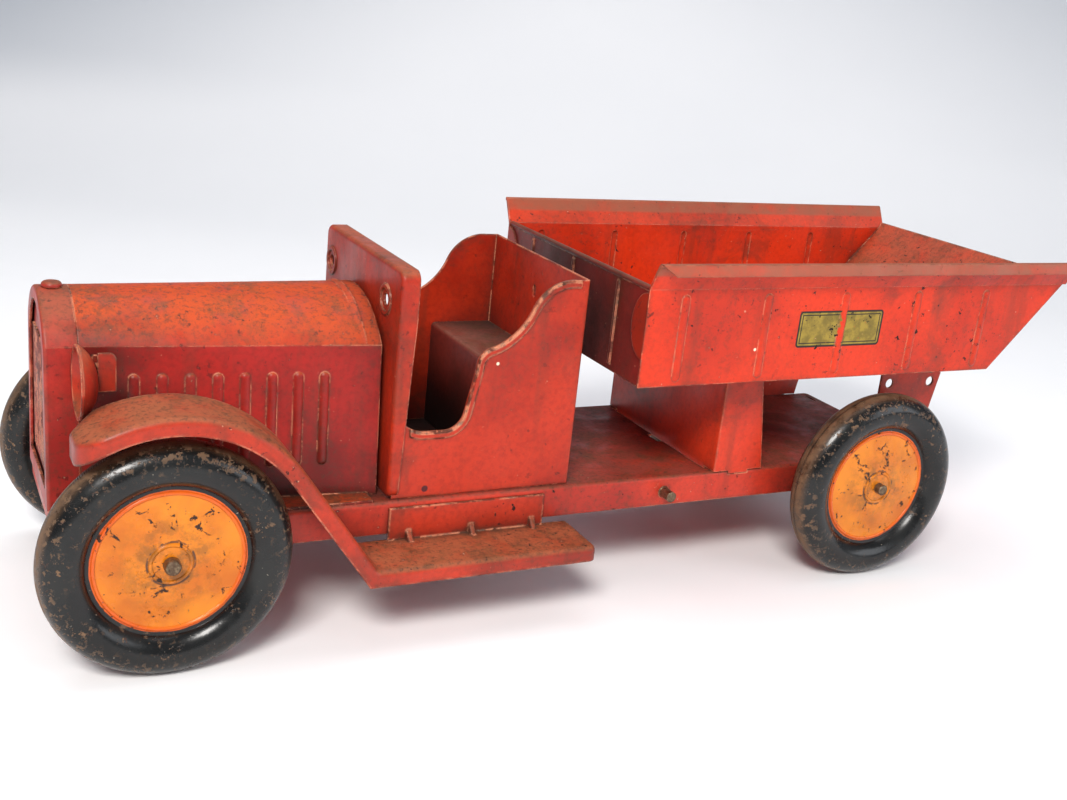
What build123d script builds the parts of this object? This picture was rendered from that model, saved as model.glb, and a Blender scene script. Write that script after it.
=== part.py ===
"""Toy dump truck of pressed steel, about 47 cm long, in millimetres.

Frame: +X is the truck's front, +Y its left side, +Z up. The origin is on the floor,
under the middle of the truck's length and width.
"""

import os
from math import cos, radians, sin

from build123d import *

# ---------------------------------------------------------------- driving dimensions

SHEET = 1.0  # thickness of the pressed sheet steel

# chassis: an inverted channel, the deck on top and a rail down each side
DECK_TOP = 51.0
RAIL_HEIGHT = 13.6
FRAME_HALF = 48.0
FRAME_FRONT = 224.0
FRAME_REAR = -185.0

# wheels and axles
WHEEL_R = 45.0
WHEEL_MID_Y = 64.5
TYRE_R = 8.4  # section radius of the tyre's rounded tread
FRONT_AXLE_X = 190.0
REAR_AXLE_X = -136.0
AXLE_R = 2.5
RUNNING_FIT = 0.06

# hood and radiator: straight sides to a shoulder, then a rounded crown
HOOD_REAR_X = 103.0
HOOD_FRONT_X = 214.8
RADIATOR_FRONT_X = 226.5
SHOULDER_Z = 112.5
CROWN_Z = 128.8
HOOD_REAR_HALF = 34.7
HOOD_FRONT_HALF = 24.5
SIDE_SPREAD = 4.0  # how much wider the hood's sides are at the deck than at the shoulder
FLANGE_HALF = 46.5
RIB_PITCH = 10.1

# dash panel
DASH_FRONT_X = 101.0
DASH_HALF = 46.5
DASH_TOP = 144.5
DASH_DEPTH = 7.5
DASH_DIMPLES = ((30.0, 129.8), (-37.5, 129.8))

# cab
CAB_HALF = 45.2
CAB_REAR_X = 18.5
CAB_FRONT_X = 99.1
CAB_TOP = 140.4
SEAT_TOP = 98.8
SEAT_FRONT_X = 49.0

# fenders and running boards
FENDER_R = 56.5
FENDER_SLOPE = 54.6  # angle of the straight tail above the floor, degrees
FENDER_TIP_X = 222.0
FENDER_OUTER_Y = 75.5
LIP = 6.4
BOARD_TOP = 34.8
BOARD_REAR_X = 17.5

# dump bed
BED_FRONT_X = 2.0
BED_HALF = 66.0
BED_BOTTOM = 100.0
BED_WALL_TOP = 142.0
TAIL_FOOT_X = -193.6
TAIL_TOP_X = -232.8
FLARE_OUT = 5.5
FLARE_UP = 10.6
BED_RIB_FIRST_X = -15.0
BED_RIB_PITCH = 42.0
BED_RIB_COUNT = 5

# bed pedestal, rear brackets and hinge
PEDESTAL_X = -56.0
HINGE_X = -176.0
HINGE_Z = 96.0
HINGE_ROD_R = 1.6
BRACKET_HOLE_R = 2.3
BRACKET_HOLES = ((-151.5, 88.9), (-177.2, 88.9))

# cross shaft of the lift
SHAFT_X = -30.0
SHAFT_Z = 43.8
SHAFT_R = 2.6
STUB_R = 2.4  # turned-down end outside the left rail

# headlights
LAMP_X = 216.5
LAMP_Y = 39.4
LAMP_Z = 104.0
LAMP_R = 13.5

SIDES = {"left": 1, "right": -1}

os.makedirs("parts", exist_ok=True)


def save(builder, label):
    """Label a finished piece and write it as its own STEP file."""
    builder.part.label = label
    export_step(builder.part, f"parts/{label}.step")


def side_plane(y):
    """Upright plane at y, seen so that its first axis is +X and its second +Z."""
    return Plane(origin=(0, y, 0), x_dir=(1, 0, 0), z_dir=(0, -1, 0))


def cross_plane(x):
    """Upright plane at x, its first axis +Y and its second +Z."""
    return Plane(origin=(x, 0, 0), x_dir=(0, 1, 0), z_dir=(1, 0, 0))


def cross_hole(x, z, radius):
    """Bore right through both rails, along Y."""
    with Locations(Location((x, 0, z), (90, 0, 0))):
        Cylinder(radius, 2 * FRAME_HALF + 10, mode=Mode.SUBTRACT)


def pressed_rib(radius, length):
    """Round-ended bar standing on its middle; a wall swallows all but its outermost part."""
    with BuildPart() as rib:
        with BuildSketch(Plane.XZ):
            SlotOverall(length, 2 * radius, rotation=90)
            with Locations((-radius, 0)):
                Rectangle(2 * radius, length, mode=Mode.SUBTRACT)
        revolve(axis=Axis.Z)
    return rib.part


# ---------------------------------------------------------------- chassis

frame_length = FRAME_FRONT - FRAME_REAR
frame_mid = (FRAME_FRONT + FRAME_REAR) / 2
rail_bottom = DECK_TOP - RAIL_HEIGHT
pedestal_tabs = (-69.4, 10.7)  # middle and width of the tab at each pedestal foot
bracket_tabs = (-161.0, 12.0)
foot_slot = (3.4, 84.0)  # length and width of the slot along the pedestal's foot
foot_notch = (4.6, 10.0)
rear_slit = (1.2, 8.4)
rear_slit_place = (FRAME_REAR + 5.3, 37.4)

with BuildPart() as chassis_frame:
    with BuildSketch(Plane.XY.offset(DECK_TOP)):
        with Locations((frame_mid, 0)):
            RectangleRounded(frame_length, 2 * FRAME_HALF, 3)
    extrude(amount=-RAIL_HEIGHT)
    fillet(chassis_frame.edges().group_by(Axis.Z)[-1], 1.8)
    offset(amount=-SHEET, openings=chassis_frame.faces().sort_by(Axis.Z)[0])
    # slot along the foot of the pedestal, wider in the middle
    with BuildSketch(Plane.XY.offset(DECK_TOP)):
        with Locations((PEDESTAL_X + 0.2, 0)):
            Rectangle(*foot_slot)
        with Locations((PEDESTAL_X + 2.2, 2)):
            Rectangle(*foot_notch)
        # slots for the tabs of the pedestal and of the rear brackets
        for middle, width in (pedestal_tabs, bracket_tabs):
            with Locations((middle, FRAME_HALF), (middle, -FRAME_HALF)):
                Rectangle(width + 0.6, 2 * SHEET)
        # two narrow slits by the rear edge
        with Locations(rear_slit_place, (rear_slit_place[0], -rear_slit_place[1])):
            Rectangle(*rear_slit)
    extrude(amount=-1.6 * SHEET, mode=Mode.SUBTRACT)
    cross_hole(FRONT_AXLE_X, WHEEL_R, AXLE_R)
    cross_hole(REAR_AXLE_X, WHEEL_R, AXLE_R + RUNNING_FIT)
    cross_hole(SHAFT_X, SHAFT_Z, SHAFT_R + RUNNING_FIT)
save(chassis_frame, "chassis_frame")


# ---------------------------------------------------------------- hood and radiator

def hood_section(x, half, inset=0.0, floor=DECK_TOP):
    """Closed outline of the hood across the truck at x, drawn in from its skin by inset."""
    shoulder = SHOULDER_Z - 0.6 * inset
    edge = half - inset
    foot = edge + SIDE_SPREAD * (shoulder - floor) / (SHOULDER_Z - DECK_TOP)
    with BuildSketch(cross_plane(x)) as section:
        with BuildLine():
            Polyline((-edge, shoulder), (-foot, floor), (foot, floor), (edge, shoulder))
            ThreePointArc((edge, shoulder), (0, CROWN_Z - inset), (-edge, shoulder))
        make_face()
    return section.sketch


side_run = HOOD_FRONT_X - HOOD_REAR_X
side_step = HOOD_REAR_HALF - HOOD_FRONT_HALF
side_rise = SHOULDER_Z - DECK_TOP
hood_side = Plane(
    origin=(HOOD_FRONT_X, HOOD_FRONT_HALF + SIDE_SPREAD, DECK_TOP),
    x_dir=(-side_run, side_step, 0),
    z_dir=(side_step * side_rise, side_run * side_rise, side_run * SIDE_SPREAD),
)
first_rib = 18.9  # from the hood's front edge, along its side
rib_bottom = 13.0  # above the deck
rib_top = 51.8
hood_rib_r = 2.5
hood_rib_rise = 1.0
bead_width = 2.6
bead_rise = 0.7


def hood_ribs(depth, mode=Mode.ADD):
    """Ribs of the hood's left side, drawn in by depth."""
    for index in range(8):
        place = (first_rib + index * RIB_PITCH, (rib_bottom + rib_top) / 2, hood_rib_rise - hood_rib_r)
        with Locations(hood_side * Location(place, (90, 0, 0))):
            add(pressed_rib(hood_rib_r - depth, rib_top - rib_bottom - 2 * depth), mode=mode)


with BuildPart() as hood:
    loft([hood_section(HOOD_REAR_X, HOOD_REAR_HALF), hood_section(HOOD_FRONT_X, HOOD_FRONT_HALF)])
    # eight upright ribs pressed out of each side
    hood_ribs(0)
    mirror(about=Plane.XZ)
    # raised bead over the crown, close to the dash
    with BuildSketch(cross_plane(HOOD_REAR_X + 6)):
        with BuildLine():
            bead_half = HOOD_REAR_HALF - 0.4
            ThreePointArc((bead_half, SHOULDER_Z), (0, CROWN_Z + bead_rise), (-bead_half, SHOULDER_Z))
            Line((-bead_half, SHOULDER_Z), (bead_half, SHOULDER_Z))
        make_face()
    extrude(amount=bead_width, taper=12)
    inner_rear = hood_section(HOOD_REAR_X, HOOD_REAR_HALF, SHEET)
    inner_front = hood_section(HOOD_FRONT_X, HOOD_FRONT_HALF, SHEET)
    loft([inner_rear, inner_front], mode=Mode.SUBTRACT)
    # flanges turned out along the deck
    for side in SIDES.values():
        with BuildSketch(Plane.XY.offset(DECK_TOP)):
            with BuildLine():
                Polyline(
                    (HOOD_REAR_X + 4, side * (HOOD_REAR_HALF + SIDE_SPREAD - 2)),
                    (HOOD_REAR_X + 4, side * FLANGE_HALF),
                    (HOOD_FRONT_X, side * FLANGE_HALF),
                    (HOOD_FRONT_X, side * (HOOD_FRONT_HALF + SIDE_SPREAD - 1)),
                    close=True,
                )
            make_face()
        extrude(amount=SHEET)
save(hood, "hood")

grille_depth = 1.6
shell_half = HOOD_FRONT_HALF + 0.5
shell_depth = RADIATOR_FRONT_X - HOOD_FRONT_X
frame_width = 5.0  # of the radiator shell round its window
cap_x = RADIATOR_FRONT_X - 6.0
cap_r = 3.7
stem_r = 1.5

with BuildPart() as radiator_shell:
    extrude(hood_section(HOOD_FRONT_X, shell_half), amount=shell_depth)
    fillet(radiator_shell.faces().sort_by(Axis.X)[-1].edges().filter_by(Axis.Y, reverse=True), 1.2)
    hollow = hood_section(HOOD_FRONT_X, shell_half, SHEET, floor=DECK_TOP - 1)
    extrude(hollow, amount=shell_depth - SHEET, mode=Mode.SUBTRACT)
    # window in the front face, with a frame left round it
    window = hood_section(RADIATOR_FRONT_X, shell_half, frame_width, floor=DECK_TOP + frame_width + 2)
    extrude(window, amount=-2 * SHEET, mode=Mode.SUBTRACT)
    # clearance for the stem of the cap
    with BuildSketch(Plane.XY.offset(CROWN_Z + 2)):
        with Locations((cap_x, 0)):
            Circle(stem_r)
    extrude(amount=-5, mode=Mode.SUBTRACT)
save(radiator_shell, "radiator_shell")

core_back = RADIATOR_FRONT_X - SHEET - grille_depth
core_sheet = 0.8
core_flange = 4.0
flute_pitch = 3.6

with BuildPart() as radiator_core:
    extrude(hood_section(core_back, shell_half, SHEET), amount=core_sheet)
    # upright flutes of the radiator core
    for index in range(-5, 6):
        with BuildSketch(cross_plane(core_back + core_sheet)):
            with Locations((index * flute_pitch, (DECK_TOP + SHOULDER_Z) / 2 + 4)):
                Rectangle(flute_pitch / 2, SHOULDER_Z - DECK_TOP - 12)
        extrude(amount=0.7, taper=15)
    # flanges turned back along both sides, spot-welded inside the shell
    flange_x = core_back - core_flange
    extrude(hood_section(flange_x, shell_half, SHEET), amount=core_flange)
    flange_inside = hood_section(flange_x, shell_half, SHEET + core_sheet, floor=DECK_TOP - 1)
    extrude(flange_inside, amount=core_flange, mode=Mode.SUBTRACT)
save(radiator_core, "radiator_core")

with BuildPart() as radiator_cap:
    with BuildSketch(Plane.XY.offset(CROWN_Z)):
        with Locations((cap_x, 0)):
            Circle(cap_r)
    extrude(amount=2.0)
    fillet(radiator_cap.edges().group_by(Axis.Z)[-1], 1.4)
    with BuildSketch(Plane.XY.offset(CROWN_Z)):
        with Locations((cap_x, 0)):
            Circle(stem_r)
    extrude(amount=-0.9 * SHEET)
save(radiator_cap, "radiator_cap")


# ---------------------------------------------------------------- dash panel

dash_bottom = DECK_TOP + 0.4
dash_corner_r = 4.5
dash_foot_depth = 4.4  # the flange's depth at the deck
dimple_r = (4.2, 6.4)  # inside and outside of the embossed ring
dimple_hole_r = 2.5

with BuildPart() as dash_panel:
    with BuildSketch(cross_plane(DASH_FRONT_X)):
        with Locations((0, (dash_bottom + DASH_TOP) / 2)):
            RectangleRounded(2 * DASH_HALF, DASH_TOP - dash_bottom, dash_corner_r)
    extrude(amount=-DASH_DEPTH)
    fillet(dash_panel.faces().sort_by(Axis.X)[-1].edges(), 1.8)
    offset(amount=-SHEET, openings=dash_panel.faces().sort_by(Axis.X)[0])
    # the turned-back flange is open along the deck and shallower towards it
    with BuildSketch(side_plane(DASH_HALF + 1)):
        with BuildLine():
            Polyline(
                (DASH_FRONT_X - DASH_DEPTH - 1, dash_bottom - 1),
                (DASH_FRONT_X - dash_foot_depth, dash_bottom - 1),
                (DASH_FRONT_X - dash_foot_depth, dash_bottom + 2),
                (DASH_FRONT_X - DASH_DEPTH, DASH_TOP - 20),
                (DASH_FRONT_X - DASH_DEPTH - 1, DASH_TOP - 20),
                close=True,
            )
        make_face()
    extrude(amount=2 * DASH_HALF + 2, mode=Mode.SUBTRACT)
    with BuildSketch(cross_plane(DASH_FRONT_X - SHEET)):
        with Locations((0, dash_bottom)):
            Rectangle(2 * DASH_HALF - 8, 6)
    extrude(amount=-DASH_DEPTH, mode=Mode.SUBTRACT)
    # round embossed rings with a hole in the middle
    for y, z in DASH_DIMPLES:
        ring_plane = Plane(origin=(DASH_FRONT_X - 0.1, y, z), x_dir=(0, 1, 0), z_dir=(1, 0, 0))
        with BuildSketch(ring_plane):
            Circle(dimple_r[1])
            Circle(dimple_r[0], mode=Mode.SUBTRACT)
        extrude(amount=0.8, taper=25)
        with BuildSketch(ring_plane.offset(2)):
            Circle(dimple_hole_r)
        extrude(amount=-6, mode=Mode.SUBTRACT)
save(dash_panel, "dash_panel")


# ---------------------------------------------------------------- cab

def cab_side_outline():
    """Side panel of the open cab: low doorway in front, high curved back behind."""
    with BuildSketch(side_plane(CAB_HALF)) as outline:
        with BuildLine():
            Polyline(
                (CAB_FRONT_X, 91.6),
                (CAB_FRONT_X, DECK_TOP),
                (CAB_REAR_X, DECK_TOP),
                (CAB_REAR_X, CAB_TOP),
            )
            Line((CAB_REAR_X, CAB_TOP), (24, CAB_TOP))
            shoulder_arc = ThreePointArc((24, CAB_TOP), (36, 137.6), (43.6, 128.6))
            TangentArc(shoulder_arc @ 1, (59.6, 113.2), tangent=shoulder_arc % 1)
            ThreePointArc((59.6, 113.2), (64.6, 110.2), (66.3, 104.6))
            Line((66.3, 104.6), (70.2, 85.6))
            ThreePointArc((70.2, 85.6), (73.2, 80.9), (78.4, 79.1))
            Line((78.4, 79.1), (86.6, 79.1))
            TangentArc((86.6, 79.1), (CAB_FRONT_X, 91.6), tangent=(1, 0))
        make_face()
    return outline


# the bead's two steps: their outer edge, inner edge and rise
rim_steps = ((0.2, 3.2, 0.5), (0.75, 2.65, 1.0))
rim_rear_x = CAB_REAR_X + 4.2
rim_front_x = DASH_FRONT_X - DASH_DEPTH - 0.6  # the bead stops short of the dash panel's flange

with BuildPart() as cab_body:
    with BuildSketch(cross_plane(CAB_REAR_X)):
        with Locations((0, (DECK_TOP + CAB_TOP) / 2)):
            Rectangle(2 * CAB_HALF, CAB_TOP - DECK_TOP)
    extrude(amount=SHEET)
    extrude(cab_side_outline().sketch, amount=SHEET)
    # bead pressed out along the curved edge
    for rim_outer, rim_inner, rim_rise in rim_steps:
        with BuildSketch(side_plane(CAB_HALF + rim_rise)):
            cab_side = cab_side_outline().sketch_local
            add(offset(cab_side, amount=-rim_outer, mode=Mode.PRIVATE))
            add(offset(cab_side, amount=-rim_inner, mode=Mode.PRIVATE), mode=Mode.SUBTRACT)
            with Locations((60, 40)):
                Rectangle(200, 70, mode=Mode.SUBTRACT)
            with Locations((CAB_REAR_X, 95)):
                Rectangle(2 * (rim_rear_x - CAB_REAR_X), 104, mode=Mode.SUBTRACT)
            with Locations((CAB_FRONT_X, 90)):
                Rectangle(2 * (CAB_FRONT_X - rim_front_x), 60, mode=Mode.SUBTRACT)
        extrude(amount=rim_rise + SHEET / 2)
    mirror(about=Plane.XZ)
    fillet(cab_body.edges().filter_by(Axis.Z).group_by(Axis.X)[0], 0.9)
    # small upright slot in the back
    with BuildSketch(cross_plane(CAB_REAR_X - 1)):
        with Locations((-1.4, 124)):
            SlotOverall(5.6, 2.2, rotation=90)
    extrude(amount=3, mode=Mode.SUBTRACT)
save(cab_body, "cab_body")

with BuildPart() as cab_seat:
    with BuildSketch(side_plane(CAB_HALF - SHEET)):
        with BuildLine():
            Polyline(
                (CAB_REAR_X + SHEET, SEAT_TOP),
                (SEAT_FRONT_X, SEAT_TOP),
                (SEAT_FRONT_X, DECK_TOP),
                (SEAT_FRONT_X - SHEET, DECK_TOP),
                (SEAT_FRONT_X - SHEET, SEAT_TOP - SHEET),
                (CAB_REAR_X + SHEET, SEAT_TOP - SHEET),
                close=True,
            )
        make_face()
    extrude(amount=2 * (CAB_HALF - SHEET))
    fillet(cab_seat.edges().filter_by(Axis.Y).sort_by(Axis((0, 0, 0), (1, 0, 1)))[-1], 2.0)
    inner_bend = (SEAT_FRONT_X - SHEET, 0, SEAT_TOP - SHEET)
    fillet(cab_seat.edges().filter_by(Axis.Y).sort_by_distance(inner_bend)[0], 1.0)
save(cab_seat, "cab_seat")


# ---------------------------------------------------------------- headlights

strap_low = 100.8
strap_high = 115.0
strap_sheet = 0.8
strap_rear_x = 204.1
strap_outer_y = LAMP_Y + 2
foot_height = 9.0
lamp_back_x = LAMP_X - 6.0
strap_length = lamp_back_x - strap_rear_x
strap_middle_x = strap_rear_x + strap_length / 2
rivet_y = LAMP_Y - 1.5
rivet_r = 0.8

for name, side in SIDES.items():
    with BuildPart() as headlight:
        # shallow pressed dish, open to the front, with a flat spot behind for the strap
        with BuildSketch(Plane(origin=(LAMP_X, side * LAMP_Y, LAMP_Z), x_dir=(1, 0, 0), z_dir=(0, -1, 0))):
            with BuildLine():
                Line((-6, 0), (-6, 4))
                ThreePointArc((-6, 4), (-4.0, 9.4), (0, LAMP_R))
                Line((0, LAMP_R), (0.9, LAMP_R))
                Line((0.9, LAMP_R), (0.9, LAMP_R - 1.1))
                ThreePointArc((0.9, LAMP_R - 1.1), (-3.1, 8.6), (-5.1, 3.6))
                Line((-5.1, 3.6), (-5.1, 0))
                Line((-5.1, 0), (-6, 0))
            make_face()
        revolve(axis=Axis((LAMP_X, side * LAMP_Y, LAMP_Z), (1, 0, 0)))
        with BuildSketch(cross_plane(LAMP_X)):
            with Locations((side * rivet_y, LAMP_Z)):
                Circle(rivet_r)
        extrude(amount=-8, mode=Mode.SUBTRACT)
    save(headlight, f"headlight_{name}")

with BuildPart() as left_strap:
    # foot lying on the side of the hood
    with BuildSketch(hood_side):
        with Locations((HOOD_FRONT_X - strap_middle_x, strap_low + foot_height / 2 - DECK_TOP)):
            Rectangle(strap_length, foot_height)
    extrude(amount=strap_sheet)
    # shelf standing out from the hood
    with BuildSketch(Plane.XY.offset(strap_low)):
        with BuildLine():
            Polyline(
                (strap_rear_x, 26.6),
                (strap_rear_x, strap_outer_y),
                (lamp_back_x, strap_outer_y),
                (lamp_back_x, 26.0),
                close=True,
            )
        make_face()
    extrude(amount=strap_sheet)
    # upright plate, its upper rear corner rounded
    with BuildSketch(side_plane(strap_outer_y)) as plate:
        with Locations((strap_middle_x, (strap_low + strap_high) / 2)):
            Rectangle(strap_length, strap_high - strap_low)
        fillet(plate.vertices().sort_by(Axis((0, 0, 0), (-1, 0, 1)))[-1], 2.6)
    extrude(amount=strap_sheet)
    # tab bent in behind the lamp
    with BuildSketch(cross_plane(lamp_back_x)):
        with Locations((strap_outer_y - 3, strap_low + foot_height / 2)):
            Rectangle(6, foot_height)
    extrude(amount=-strap_sheet)
    with BuildSketch(cross_plane(LAMP_X)):
        with Locations((rivet_y, LAMP_Z)):
            Circle(rivet_r)
    extrude(amount=-9, mode=Mode.SUBTRACT)
save(left_strap, "headlight_strap_left")

with BuildPart() as right_strap:
    mirror(left_strap.part, about=Plane.XZ)
save(right_strap, "headlight_strap_right")

with BuildPart() as headlight_rivets:
    for side in SIDES.values():
        head_depth = 0.7
        rivet_places = (
            (lamp_back_x - strap_sheet - head_depth, head_depth, 1.5),
            (lamp_back_x - strap_sheet, strap_sheet + 0.9, rivet_r),
            (lamp_back_x + 0.9, head_depth, 1.5),
        )
        for x, length, radius in rivet_places:
            with BuildSketch(cross_plane(x)):
                with Locations((side * rivet_y, LAMP_Z)):
                    Circle(radius)
            extrude(amount=length)
save(headlight_rivets, "headlight_rivets")


# ---------------------------------------------------------------- fenders and running boards

tip_angle = 48.0  # where the fender's arc is cut off in front, above the axle, degrees
flange_span = (31.0, 100.5)
flange_top = 48.6
gusset_places = (36.3, 64.2, 91.8)
gusset_width = 2.2
slope_sin = sin(radians(FENDER_SLOPE))
slope_cos = cos(radians(FENDER_SLOPE))
tail_foot_x = FRONT_AXLE_X - FENDER_R * slope_sin - (
    (WHEEL_R + FENDER_R * slope_cos - BOARD_TOP) * slope_cos / slope_sin
)


def fender_edge(depth, rear_x):
    """Corners of the fender's side outline, lying depth under its top surface."""
    radius = FENDER_R - depth
    tip = (
        FRONT_AXLE_X + radius * cos(radians(tip_angle)),
        WHEEL_R + radius * sin(radians(tip_angle)),
    )
    top = (FRONT_AXLE_X - radius * sin(radians(5)), WHEEL_R + radius * cos(radians(5)))
    tail = (FRONT_AXLE_X - radius * slope_sin, WHEEL_R + radius * slope_cos)
    foot = (tail_foot_x + depth * (1 - slope_cos) / slope_sin, BOARD_TOP - depth)
    rear = (rear_x, BOARD_TOP - depth)
    return tip, top, tail, foot, rear


def fender_block(depth, bottom, y, width, rear_x):
    """Solid between two depths under the top of the fender and running board."""
    with BuildPart() as block:
        with BuildSketch(side_plane(y)):
            with BuildLine():
                tip, top, tail, foot, rear = fender_edge(depth, rear_x)
                ThreePointArc(tip, top, tail)
                Polyline(tail, foot, rear)
                low_tip, low_top, low_tail, low_foot, low_rear = fender_edge(bottom, rear_x)
                Line(rear, low_rear)
                Polyline(low_rear, low_foot, low_tail)
                ThreePointArc(low_tail, low_top, low_tip)
                Line(low_tip, tip)
            make_face()
        extrude(amount=width)
    return block.part


def fender_plan(inset):
    """Outline of the stamping from above, drawn in by inset."""
    length = FENDER_TIP_X - BOARD_REAR_X - 2 * inset
    width = FENDER_OUTER_Y - FRAME_HALF - 2 * inset
    with BuildSketch() as plan:
        with Locations(((FENDER_TIP_X + BOARD_REAR_X) / 2, (FENDER_OUTER_Y + FRAME_HALF) / 2)):
            Rectangle(length, width)
        fillet(plan.vertices().group_by(Axis.X)[-1].sort_by(Axis.Y)[-1], 11 - inset)
        # the tip's inner corner is cut off, clear of the headlight
        chamfer(plan.vertices().group_by(Axis.X)[-1].sort_by(Axis.Y)[0], 9 - 0.6 * inset)
        fillet(plan.vertices().group_by(Axis.X)[0].sort_by(Axis.Y)[-1], 4 - inset)
        if inset:
            with Locations(((FENDER_TIP_X + BOARD_REAR_X) / 2 - 4, FRAME_HALF)):
                Rectangle(length - 18, 12)
    return plan.sketch


fender_width = FENDER_OUTER_Y - FRAME_HALF
fender_bend_r = 2.6  # outside radius of the bend from the top to the lip
foot_bend_r = 4.0  # where the tail runs into the running board


def round_bends(stamping, depth):
    """Round the foot of the tail and the bend over to the lip, depth under the skin."""
    foot = (tail_foot_x, FENDER_OUTER_Y - 10, BOARD_TOP - depth)
    fillet(stamping.edges().filter_by(Axis.Y).sort_by_distance(foot)[0], foot_bend_r + depth)
    tops = stamping.faces().filter_by(lambda face: face.normal_at().Z > 0.5)
    walls = stamping.faces().filter_by(lambda face: abs(face.normal_at().Z) < 0.1)
    outer_edges = walls.filter_by(lambda face: face.center().Y > FRAME_HALF + 6).edges()
    fillet([edge for edge in tops.edges() if edge in outer_edges], fender_bend_r - depth)


with BuildPart() as fender_hollow:
    add(fender_block(SHEET, LIP + 12, FENDER_OUTER_Y + 2, fender_width + 4, BOARD_REAR_X - 2))
    extrude(fender_plan(SHEET), amount=140, mode=Mode.INTERSECT)
    round_bends(fender_hollow, SHEET)

with BuildPart() as fender_left:
    add(fender_block(0, LIP, FENDER_OUTER_Y, fender_width, BOARD_REAR_X))
    extrude(fender_plan(0), amount=140, mode=Mode.INTERSECT)
    round_bends(fender_left, 0)
    add(fender_hollow.part, mode=Mode.SUBTRACT)
    # flange turned up against the rail, with three small gussets in its bend
    with BuildSketch(side_plane(FRAME_HALF + SHEET)):
        with Locations((sum(flange_span) / 2, (BOARD_TOP - SHEET + flange_top) / 2)):
            Rectangle(flange_span[1] - flange_span[0], flange_top - BOARD_TOP + SHEET)
    extrude(amount=SHEET)
    for x in gusset_places:
        with BuildSketch(cross_plane(x - gusset_width / 2)):
            with BuildLine():
                Polyline(
                    (FRAME_HALF + SHEET, BOARD_TOP),
                    (FRAME_HALF + 4.5, BOARD_TOP),
                    (FRAME_HALF + SHEET, BOARD_TOP + 4.2),
                    close=True,
                )
            make_face()
        extrude(amount=gusset_width)
save(fender_left, "fender_running_board_left")

with BuildPart() as fender_right:
    mirror(fender_left.part, about=Plane.XZ)
save(fender_right, "fender_running_board_right")


# ---------------------------------------------------------------- wheels and axles

tyre_mid_r = WHEEL_R - TYRE_R
disc_edge_r = 27.3
disc_edge_w = 3.3  # how far the disc's edge and its middle stand out from the wheel's mid-plane
disc_mid_w = 5.2
tread_sweep = 155  # how far round its section each tyre half runs, degrees
disc_bead_r = 0.75
hub_ring_r = 7.2
hub_r = 4.2
end_play = 0.3


def wheel_shell(x, side, face, bore):
    """One of the two pressed halves of a wheel: half the hollow tyre and a dished disc."""
    middle = Plane(origin=(x, side * WHEEL_MID_Y, WHEEL_R), x_dir=(1, 0, 0), z_dir=(0, 0, side * face))
    with BuildPart() as shell:
        with BuildSketch(middle):
            with BuildLine():
                tread = CenterArc((tyre_mid_r, 0), TYRE_R, 0, tread_sweep)
                Polyline(tread @ 1, (disc_edge_r, disc_edge_w), (bore, disc_mid_w))
                Line((bore, disc_mid_w), (bore, disc_mid_w - SHEET))
                inside = CenterArc((tyre_mid_r, 0), TYRE_R - SHEET, 0, tread_sweep)
                Polyline((bore, disc_mid_w - SHEET), (disc_edge_r, disc_edge_w - SHEET), inside @ 1)
                Line(inside @ 0, tread @ 0)
            make_face()
            # raised edge of the disc and the ring pressed round its hub
            with Locations((disc_edge_r - 0.9, disc_edge_w), (hub_ring_r, disc_mid_w - 0.45)):
                Circle(disc_bead_r)
        revolve(axis=Axis((x, 0, WHEEL_R), (0, 1, 0)))
    return shell


def wheel_hub(x, side, bore):
    """Sleeve between the two discs of a wheel."""
    reach = disc_mid_w - SHEET - 0.15
    with BuildPart() as hub:
        with Locations(Location((x, side * WHEEL_MID_Y, WHEEL_R), (90, 0, 0))):
            Cylinder(hub_r, 2 * reach)
            Cylinder(bore, 2 * reach + 1, mode=Mode.SUBTRACT)
    return hub


axles = {"front": (FRONT_AXLE_X, AXLE_R + RUNNING_FIT), "rear": (REAR_AXLE_X, AXLE_R)}

for end, (x, bore) in axles.items():
    for name, side in SIDES.items():
        save(wheel_shell(x, side, 1, bore), f"wheel_{end}_{name}_outer_shell")
        save(wheel_shell(x, side, -1, bore), f"wheel_{end}_{name}_inner_shell")
        save(wheel_hub(x, side, bore), f"wheel_{end}_{name}_hub")

wheel_out_y = WHEEL_MID_Y + disc_mid_w
wheel_in_y = WHEEL_MID_Y - disc_mid_w
nut_r = 3.0
nut_length = 4.4
nut_from_y = wheel_out_y + end_play
front_axle_half = nut_from_y + 2.4

with BuildPart() as front_axle:
    with Locations(Location((FRONT_AXLE_X, 0, WHEEL_R), (90, 0, 0))):
        Cylinder(AXLE_R, 2 * front_axle_half)
save(front_axle, "front_axle")

for name, side in SIDES.items():
    with BuildPart() as nut:
        with BuildSketch(side_plane(side * nut_from_y)):
            with Locations((FRONT_AXLE_X, WHEEL_R)):
                Circle(nut_r)
        extrude(amount=-side * nut_length)
        fillet(nut.faces().filter_by(Axis.Y).sort_by(Axis.Y)[-1 if side > 0 else 0].edges(), 1.9)
        with BuildSketch(side_plane(side * nut_from_y)):
            with Locations((FRONT_AXLE_X, WHEEL_R)):
                Circle(AXLE_R)
        extrude(amount=-side * 2.4, mode=Mode.SUBTRACT)
    save(nut, f"front_hub_nut_{name}")

front_spacer_end = wheel_in_y - end_play
rear_spacer_start = FRAME_HALF + end_play

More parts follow.
